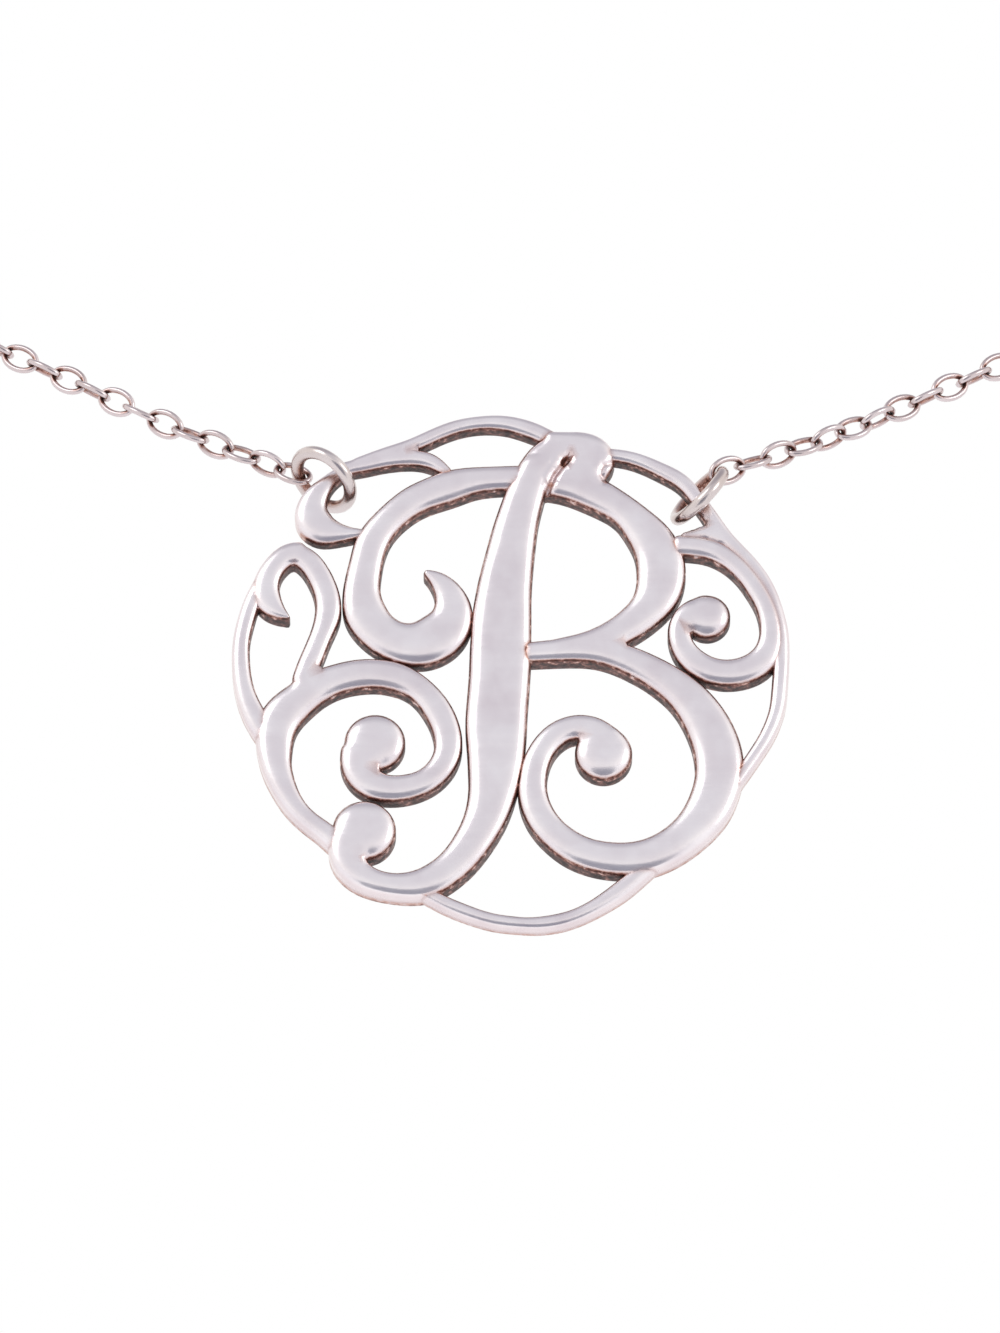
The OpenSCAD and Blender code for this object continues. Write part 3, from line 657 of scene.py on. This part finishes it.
def stain_pendant(piece):
    """Tarnish from 0 to 1 at each vertex: walls that face other metal across a hole, the grooves and the pit, and
    a thin film on the outer walls and the back."""
    bm = bmesh.new()
    bm.from_mesh(piece.data)
    weld = 0.002 * MM
    bmesh.ops.remove_doubles(bm, verts=bm.verts, dist=weld)
    bmesh.ops.dissolve_degenerate(bm, edges=bm.edges, dist=weld)
    bmesh.ops.triangulate(bm, faces=bm.faces)
    bm.normal_update()
    tree = BVHTree.FromBMesh(bm)
    grooves = creases(bm)
    near = KDTree(len(grooves))
    for i, p in enumerate(grooves):
        near.insert(p, i)
    near.balance()
    centre = Vector(PENDANT_AT) * MM
    middle = PENDANT_AT[1] * MM
    values = []
    for v in bm.verts:
        n = v.normal
        flat = Vector((n.x, 0, n.z))
        wall = share((flat.length - 0.6) / 0.3)
        hollow = 0.0
        if wall > 0:
            flat.normalize()
            hollow = hollow_at(tree, v.co, flat, middle)
        x, z = (v.co.x - centre.x) / MM / U, (v.co.z - centre.z) / MM / U
        behind = (v.co.y - middle) / MM
        _, _, far = near.find(v.co)
        groove = max(THIN_STAIN, strongest(STAINS, x, z)) * math.exp(-(far / (GROOVE_REACH * MM)) ** 2)
        back = share((behind - 0.2) / 0.4)
        pit = strongest(PIT_STAINS, x, z) * (1 - back)
        # Polishing reaches the front of a hole's wall and the tarnish thickens behind it. The back edge is rubbed
        # a little cleaner
        hole_wall = (0.56 + 0.32 * share((behind + 0.4) / 0.55) - 0.2 * back) * wall * hollow
        # An outer wall keeps a thin film that grows towards the back edge
        outer_wall = (0.1 + 0.3 * share((behind + 0.1) / 0.6)) * wall
        back_film = 0.2 * share(n.y)
        values.append(max(outer_wall, hole_wall, groove, pit, back_film))
    for edge in bm.edges:
        edge.smooth = len(edge.link_faces) == 2 and edge.calc_face_angle() < math.radians(SHARP_ANGLE)
    for face in bm.faces:
        face.smooth = True
    bm.to_mesh(piece.data)
    bm.free()
    layer = piece.data.attributes.new("tarnish", "FLOAT", "POINT")
    layer.data.foreach_set("value", values)


def keep_flats(piece):
    """Face-weighted normals keep the flat faces flat beside their rolled edges."""
    weigh = piece.modifiers.new("weighted", "WEIGHTED_NORMAL")
    weigh.mode, weigh.weight, weigh.keep_sharp = "FACE_AREA", 60, True


pendant = cast_pendant()
stain_pendant(pendant)
keep_flats(pendant)
pendant.data.materials.clear()
pendant.data.materials.append(cast_silver)
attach(pendant, "pendant")
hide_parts("initial_pendant")


def facing(at, z, x):
    """A frame with Z along z and X towards x, placed at a point."""
    zz = unit(z)
    yy = unit(np.cross(zz, x))
    xx = np.cross(yy, zz)
    return np.stack([xx, yy, zz], axis=1), np.asarray(at, float)


def tube(path, side, up, radius, sides):
    """Vertices and faces of a round wire along a closed path. side and up span each cross section."""
    angles = np.arange(sides) * 2 * math.pi / sides
    round_it = side[:, None, :] * np.cos(angles)[None, :, None] + up[:, None, :] * np.sin(angles)[None, :, None]
    verts = path[:, None, :] + radius[:, None, None] * round_it
    n = len(path)
    faces = [(i * sides + j, i * sides + (j + 1) % sides, ((i + 1) % n) * sides + (j + 1) % sides,
              ((i + 1) % n) * sides + j) for i in range(n) for j in range(sides)]
    return verts.reshape(-1, 3), faces


def oval_link():
    """A link lying in XY along X, and how deep each of its vertices sits in the inner side and in a joint.
    The drawn wire is rounder and a little fuller than the CAD model's, as soldering leaves it."""
    long_r, short_r, wire_r = (LINK_PITCH + LINK_WIRE + LINK_GAP) / 2, 0.655, 0.17
    turns, sides = 26, 12
    t = np.arange(turns) * 2 * math.pi / turns
    path = np.stack([long_r * np.cos(t), short_r * np.sin(t), 0 * t], axis=1)
    out = unit_rows(np.stack([short_r * np.cos(t), long_r * np.sin(t), 0 * t], axis=1))
    up = np.tile([0.0, 0.0, 1.0], (turns, 1))
    verts, faces = tube(path, out, up, np.full(turns, wire_r), sides)
    inward = -np.sum((verts.reshape(turns, sides, 3) - path[:, None]) * out[:, None], axis=2).ravel() / wire_r
    joint = np.clip((np.abs(verts[:, 0]) / long_r - 0.45) / 0.35, 0, 1) * np.clip((inward + 0.4) / 1.1, 0, 1)
    return verts, faces, np.maximum(0.85 * joint, 0.36 * np.clip(inward, 0, 1))


def wire_piece(name, parts, material, body, node):
    """One object from (vertices, faces, tarnish) parts given in mm."""
    verts, faces, stains, at = [], [], [], 0
    for v, f, stain in parts:
        verts.append(v)
        stains.append(stain)
        faces.extend(tuple(i + at for i in face) for face in f)
        at += len(v)
    mesh = bpy.data.meshes.new(name)
    mesh.from_pydata((np.vstack(verts) * MM).tolist(), [], faces)
    mesh.shade_smooth()
    layer = mesh.attributes.new("tarnish", "FLOAT", "POINT")
    layer.data.foreach_set("value", np.concatenate(stains).astype(float))
    mesh.materials.append(material)
    piece = bpy.data.objects.new(name, mesh)
    bpy.context.scene.collection.objects.link(piece)
    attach(piece, body)
    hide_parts(node)


def ring_part(at, faces, x, r, wire, seam):
    """A round ring at a place, its flat side facing one way, with a slight swelling of solder at seam radians from
    x, where the wire's ends meet, and tarnish on its inner side."""
    turns, sides = 96, 20
    t = np.arange(turns) * 2 * math.pi / turns
    out = np.stack([np.cos(t), np.sin(t), 0 * t], axis=1)
    up = np.tile([0.0, 0.0, 1.0], (turns, 1))
    swell = 1 + 0.05 * np.exp(-((np.angle(np.exp(1j * (t - seam)))) / 0.12) ** 2)
    verts, quads = tube(out * r, out, up, wire / 2 * swell, sides)
    basis, place = facing(at, faces, x)
    inner = np.clip((r - np.hypot(verts[:, 0], verts[:, 1])) / (wire / 2), 0, 1)
    return verts @ basis.T + place, quads, 0.5 * inner ** 1.5


def pulled(faces, pull):
    """The direction in a ring's plane that a pull draws a link to."""
    return unit(pull - faces * np.dot(pull, faces))


def chain_parts(ring, route, last_at, last_r, last_wire):
    """The links of one half of the chain, placed just as the CAD model's are: from a jump ring along the route to
    the last ring, which lies flat."""
    ring_at, ring_faces, last_at = np.array(PENDANT_AT) + np.array(ring[0]) * U, unit(ring[1]), np.array(last_at)
    start = ring_at + RING_R * pulled(ring_faces, np.array(ring[2], float))
    tangent = np.cross(ring_faces, unit(start - ring_at))
    finish = last_at + last_r * pulled(np.array([0, 0, 1.0]), np.array(route[-1]) - last_at)
    c = smooth_rows([start] + [np.array(p, float) for p in route] + [finish], 8)
    length = lengths_along(c)
    total = length[-1]

    def place(s):
        return np.array([np.interp(s, length, c[:, k]) for k in range(3)])

    # Half the room inside a link. The end links rest against their rings with less play than the others
    inside = (LINK_PITCH + LINK_WIRE + LINK_GAP) / 2 - LINK_WIRE / 2 - LINK_GAP
    first = inside - RING_WIRE / 2 - 0.7 * LINK_GAP
    last = total - (inside - last_wire / 2)
    steps = 2 * math.floor((last - first) / LINK_PITCH / 2) + 1
    verts, quads, stains = oval_link()
    parts = []
    for i in range(steps + 1):
        s = first + (last - first) * i / steps
        along = unit(place(min(s + 0.5, total)) - place(max(s - 0.5, 0)))
        up = unit(np.array([0, 0, 1.0]) - along * along[2])
        out = np.cross(along, up)
        twist = math.degrees(math.atan2(np.dot(tangent, out), np.dot(tangent, up)))
        twist = twist - 180 if twist > 90 else twist + 180 if twist < -90 else twist
        roll = math.radians(twist * max(0.0, 1 - i / TWIST_LINKS) + 90 * (i % 2))
        basis, at = facing(place(s), up * math.cos(roll) + out * math.sin(roll), along)
        parts.append((verts @ basis.T + at, quads, stains))
    return parts


for node, ring, seam in (("left_jump_ring", LEFT_RING, 2.2), ("right_jump_ring", RIGHT_RING, 4.0)):
    at = np.array(PENDANT_AT) + np.array(ring[0]) * U
    wire_piece(node + "_wire", [ring_part(at, unit(ring[1]), [0, 0, 1], RING_R, RING_WIRE, seam)],
               soldered_silver, "necklace", node)
wire_piece("left_chain_links", chain_parts(LEFT_RING, LEFT_ROUTE, [EYE_X, 0, 0], EYE_R, EYE_WIRE),
           drawn_silver, "necklace", "left_chain")
wire_piece("right_chain_links", chain_parts(RIGHT_RING, RIGHT_ROUTE, [END_RING_X, 0, 0], END_RING_R, END_RING_WIRE),
           drawn_silver, "necklace", "right_chain")
wire_piece("end_ring_wire", [ring_part([END_RING_X, 0, 0], [0, 0, 1], [1, 0, 0], END_RING_R, END_RING_WIRE, 0.6)],
           soldered_silver, "necklace", "end_ring")
wire_piece("spring_ring_clasp", [
    ring_part([CLASP_X, 0, 0], [0, 1, 0], [1, 0, 0], CLASP_R, CLASP_WIRE, 3.0),
    ring_part([EYE_X, 0, 0], [0, 0, 1], [1, 0, 0], EYE_R, EYE_WIRE, 1.6)],
    soldered_silver, "necklace", "clasp")


def studio():
    """The room that the metal reflects: near-white walls all round, a pale grey patch high in front that the
    pendant's faces see, a darker ceiling, and pure white behind the pendant."""
    world = bpy.data.worlds.new("white studio")
    bpy.context.scene.world = world
    world.use_nodes = True
    tree = world.node_tree
    tree.nodes.clear()
    way = add(tree, "ShaderNodeTexCoord").outputs["Generated"]

    def patch(azimuth, elevation, inner, outer):
        """1 within inner degrees of a direction from the object, 0 beyond outer degrees."""
        a, e = math.radians(azimuth), math.radians(elevation)
        towards = (math.sin(a) * math.cos(e), -math.cos(a) * math.cos(e), math.sin(e))
        dot = add(tree, "ShaderNodeVectorMath", {0: way, 1: towards}, operation="DOT_PRODUCT").outputs["Value"]
        return add(tree, "ShaderNodeMapRange", {
            "Value": dot, "From Min": math.cos(math.radians(outer)), "From Max": math.cos(math.radians(inner))},
            interpolation_type="SMOOTHSTEP").outputs["Result"]

    def over(base, colour, cover):
        return add(tree, "ShaderNodeMix", {0: cover, 6: base, 7: colour}, data_type="RGBA").outputs[2]

    room = over(linear("#F8F3F3"), linear("#DAD7DD"), patch(0, 36, 12, 40))
    room = over(room, linear("#B9B5BE"), patch(0, 84, 14, 44))
    room = over(room, linear("#FFFFFF"), patch(180, 23, 14, 34))
    light = add(tree, "ShaderNodeBackground", {"Color": room, "Strength": 1.0})
    add(tree, "ShaderNodeOutputWorld", {"Surface": light.outputs["Background"]})


def soft_light(name, at, size, watts):
    """A round soft lamp aimed at the pendant."""
    lamp = bpy.data.lights.new(name, "AREA")
    lamp.shape, lamp.size, lamp.energy = "DISK", size, watts
    holder = bpy.data.objects.new(name, lamp)
    holder.location = at
    aim = Vector((0, -0.108, -0.1))
    holder.rotation_euler = (aim - Vector(at)).to_track_quat("-Z", "Y").to_euler()
    bpy.context.scene.collection.objects.link(holder)


def overhead():
    """A wide soft light from above for the floor and the dull tarnish, left out of the metal's reflections."""
    lamp = bpy.data.lights.new("overhead", "SUN")
    lamp.energy, lamp.angle = 0.75, 1.2
    holder = bpy.data.objects.new("overhead", lamp)
    holder.rotation_euler = (math.radians(-30), 0, 0)
    holder.visible_glossy = False
    bpy.context.scene.collection.objects.link(holder)


def from_below(degrees, away):
    """The step to a place in front and degrees below, away metres off, and the turn that looks back from there."""
    tilt = math.radians(degrees)
    return Vector((0, -math.cos(tilt), -math.sin(tilt))) * away, (math.radians(90 + degrees), 0, 0)


def dark_card():
    """A grey disc in front of the pendant, centred 28 degrees below level and seen only in the metal's reflections.
    It draws the dark line along edges that face down."""
    radius, sides = 0.21, 48
    mesh = bpy.data.meshes.new("dark_card")
    turns = [2 * math.pi * k / sides for k in range(sides)]
    mesh.from_pydata([(radius * math.cos(t), radius * math.sin(t), 0) for t in turns], [], [tuple(range(sides))])
    mat = bpy.data.materials.new("slate grey card")
    mat.use_nodes = True
    mat.node_tree.nodes.clear()
    glow = add(mat.node_tree, "ShaderNodeEmission", {"Color": linear("#9796A2"), "Strength": 1.0})
    add(mat.node_tree, "ShaderNodeOutputMaterial", {"Surface": glow.outputs["Emission"]})
    mesh.materials.append(mat)
    piece = bpy.data.objects.new("dark_card", mesh)
    step, piece.rotation_euler = from_below(28, 0.45)
    piece.location = Vector(PENDANT_AT) * MM + step
    piece.visible_camera = piece.visible_diffuse = piece.visible_shadow = False
    bpy.context.scene.collection.objects.link(piece)


def floor():
    """White paper far below the necklace. Its fibres are drawn 2 mm apart, coarser than real ones, so that they
    show."""
    mesh = bpy.data.meshes.new("floor")
    size, low = 60.0, -0.85
    corners = [(-size, -size, low), (size, -size, low), (size, size, low), (-size, size, low)]
    mesh.from_pydata(corners, [], [(0, 1, 2, 3)])
    mat = bpy.data.materials.new("white paper sweep")
    mat.use_nodes = True
    tree = mat.node_tree
    at = add(tree, "ShaderNodeTexCoord").outputs["Object"]
    fibre = add(tree, "ShaderNodeTexNoise", {"Vector": at, "Scale": 1 / 0.002, "Detail": 2.0}).outputs["Fac"]
    colour = ramp(tree, fibre, [(0.3, "#F5F4F5"), (0.7, "#F7F6F7")])
    shader = next(n for n in tree.nodes if n.type == "BSDF_PRINCIPLED")
    tree.links.new(colour, shader.inputs["Base Color"])
    shader.inputs["Roughness"].default_value = 0.9
    mesh.materials.append(mat)
    piece = bpy.data.objects.new("floor", mesh)
    bpy.context.scene.collection.objects.link(piece)


def camera():
    """Straight on, from 23 degrees below, with a long lens and 75.85 mm of height in the frame."""
    lens, sensor, height = 600.0, 36.0, 75.85
    data = bpy.data.cameras.new("camera")
    data.lens, data.sensor_width, data.sensor_fit = lens, sensor, "AUTO"
    data.clip_start, data.clip_end = 0.01, 200.0
    holder = bpy.data.objects.new("camera", data)
    step, holder.rotation_euler = from_below(23, height * MM * lens / sensor)
    frame_middle = Vector((-0.626, -108.85, -100.89)) * MM
    holder.location = frame_middle + step
    bpy.context.scene.collection.objects.link(holder)
    bpy.context.scene.camera = holder


studio()
# Two lamps in front, one to each side, that brighten the edges turned towards them
soft_light("key", (-0.5, -0.7, 0.35), 0.5, 0.85)
soft_light("fill", (0.62, -0.62, 0.05), 0.4, 0.65)
overhead()
dark_card()
floor()
camera()
bpy.context.scene.view_settings.view_transform = "Standard"
